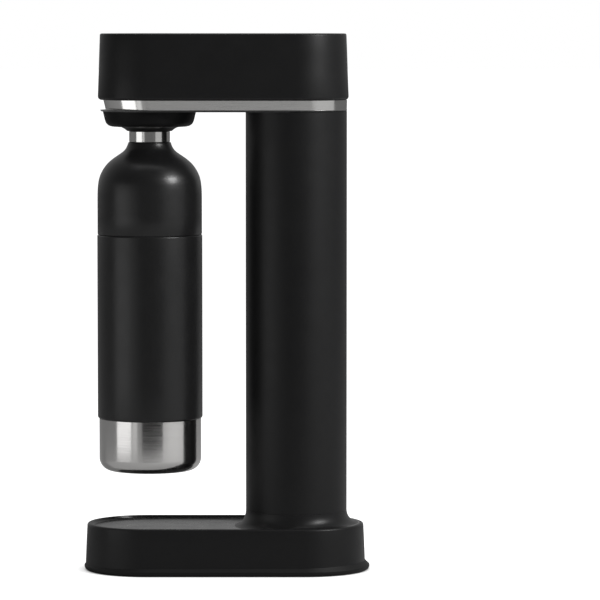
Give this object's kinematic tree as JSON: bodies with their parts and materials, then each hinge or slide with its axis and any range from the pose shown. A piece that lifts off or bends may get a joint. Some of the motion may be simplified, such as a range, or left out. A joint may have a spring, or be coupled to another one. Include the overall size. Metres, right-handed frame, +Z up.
{
  "type": "soda carbonator",
  "caption": "Counter-top soda carbonator: black column, head with polished band, twist-lock bottle with steel cup, dished base, gas cylinder in the column.",
  "frame": {"origin": "on the surface the machine stands on, under the middle of its foot lip", "axes": "+Z up, front faces -X, Y across the machine"},
  "size_m": [0.2238, 0.101, 0.4195],
  "materials": {
    "black_housing": "fine matte black moulding",
    "black_collar": "satin black moulding",
    "bottle_black": "soft matte black shell",
    "button_black": "satin black cap",
    "foot_rubber": "matte black rubber",
    "seal_rubber": "moulded rubber",
    "inner_plastic": "dark grey moulding",
    "zinc_screw": "zinc-plated steel",
    "cast_weight": "painted iron",
    "inner_metal": "die-cast aluminium",
    "polished_steel": "polished band with fine brushing",
    "brushed_steel": "brushed stainless steel",
    "tube_steel": "stainless steel",
    "spring_steel": "spring wire",
    "brass": "machined brass",
    "copper": "drawn copper tube",
    "bottle_pet": "smoky PET",
    "cylinder_paint": "satin aluminium",
    "label_film": "plain film label"
  },
  "bodies": {
    "machine": {"base_cover": "black_housing", "foot_ring": "foot_rubber", "base_plate": "inner_plastic", "base_screws": "zinc_screw", "ballast_plate": "cast_weight", "column_tube": "black_housing", "cylinder_guide": "inner_plastic", "tie_rods": "zinc_screw", "tie_rod_nuts": "zinc_screw", "head_chassis": "inner_metal", "head_bottom_plate": "black_collar", "trim_band": "polished_steel", "head_housing": "black_housing", "housing_screws": "zinc_screw", "collar": "black_collar", "collar_screws": "zinc_screw", "bottle_holder": "inner_plastic", "nozzle_block": "inner_metal", "nozzle_screws": "zinc_screw", "carbonation_tube": "tube_steel", "nozzle_tip": "inner_plastic", "bottle_seal": "seal_rubber", "relief_body": "brass", "relief_spring": "spring_steel", "relief_cap": "brass", "burst_disc_plug": "brass", "gas_pipe": "copper", "pipe_nuts": "brass", "valve_block": "inner_metal", "valve_block_screws": "zinc_screw", "pusher_spring": "spring_steel", "lever_bracket": "inner_metal", "lever_pin": "tube_steel", "pin_clips": "spring_steel", "button_guide": "inner_plastic", "guide_screws": "zinc_screw", "button_spring": "spring_steel"},
    "button": {"press_button": "button_black"},
    "lever": {"press_lever": "inner_metal"},
    "pusher": {"valve_pusher": "tube_steel"},
    "relief": {"relief_poppet": "inner_plastic"},
    "neck": {"neck_ring": "brushed_steel"},
    "bottle": {"bottle_liner": "bottle_pet", "shoulder_shell": "bottle_black", "bottle_sleeve": "bottle_black", "base_cup": "brushed_steel", "cup_pad": "seal_rubber"},
    "seal_washer": {"cylinder_seal": "seal_rubber"},
    "cylinder": {"gas_cylinder": "cylinder_paint", "cylinder_label": "label_film", "cylinder_valve": "brass"},
    "cylinder_pin": {"valve_pin": "tube_steel"}
  },
  "joints": [
    {"name": "button_press", "type": "slide", "parent": "machine", "child": "button", "axis": [0, 0, -1], "range_m": [0, 0.009], "stiffness_N_per_m": 600, "springref_m": -0.003, "deforming": ["button_spring"]},
    {"name": "lever_swing", "type": "hinge", "parent": "machine", "child": "lever", "pos_m": [0.084, 0, 0.397], "axis": [0, -1, 0], "range_deg": [0, 3.6]},
    {"name": "pusher_slide", "type": "slide", "parent": "machine", "child": "pusher", "axis": [0, 0, -1], "range_m": [0, 0.0019], "deforming": ["pusher_spring"]},
    {"name": "relief_lift", "type": "slide", "parent": "machine", "child": "relief", "axis": [0, 0, 1], "range_m": [0, 0.0015], "stiffness_N_per_m": 2000, "springref_m": -0.003, "deforming": ["relief_spring"]},
    {"name": "bottle_drop", "type": "slide", "parent": "machine", "child": "neck", "axis": [0, 0, -1], "range_m": [0, 0.036]},
    {"name": "bottle_twist", "type": "hinge", "parent": "neck", "child": "bottle", "pos_m": [-0.06, 0, 0.2], "axis": [0, 0, 1], "range_deg": [0, 60]},
    {"name": "cylinder_drop", "type": "slide", "parent": "machine", "child": "seal_washer", "axis": [0, 0, -1], "range_m": [0, 0.375]},
    {"name": "cylinder_unscrew", "type": "hinge", "parent": "seal_washer", "child": "cylinder", "pos_m": [0.0544, 0, 0.2], "axis": [0, 0, -1], "range_deg": [0, 900]},
    {"name": "cylinder_pin_slide", "type": "slide", "parent": "cylinder", "child": "cylinder_pin", "axis": [0, 0, -1], "range_m": [0, 0.0019]}
  ],
  "couplings": [
    {"joint": "lever_swing", "follows": "button_press", "rad_per_m": 6.944},
    {"joint": "pusher_slide", "follows": "button_press", "ratio": 0.2056},
    {"joint": "cylinder_pin_slide", "follows": "button_press", "ratio": 0.2056}
  ]
}
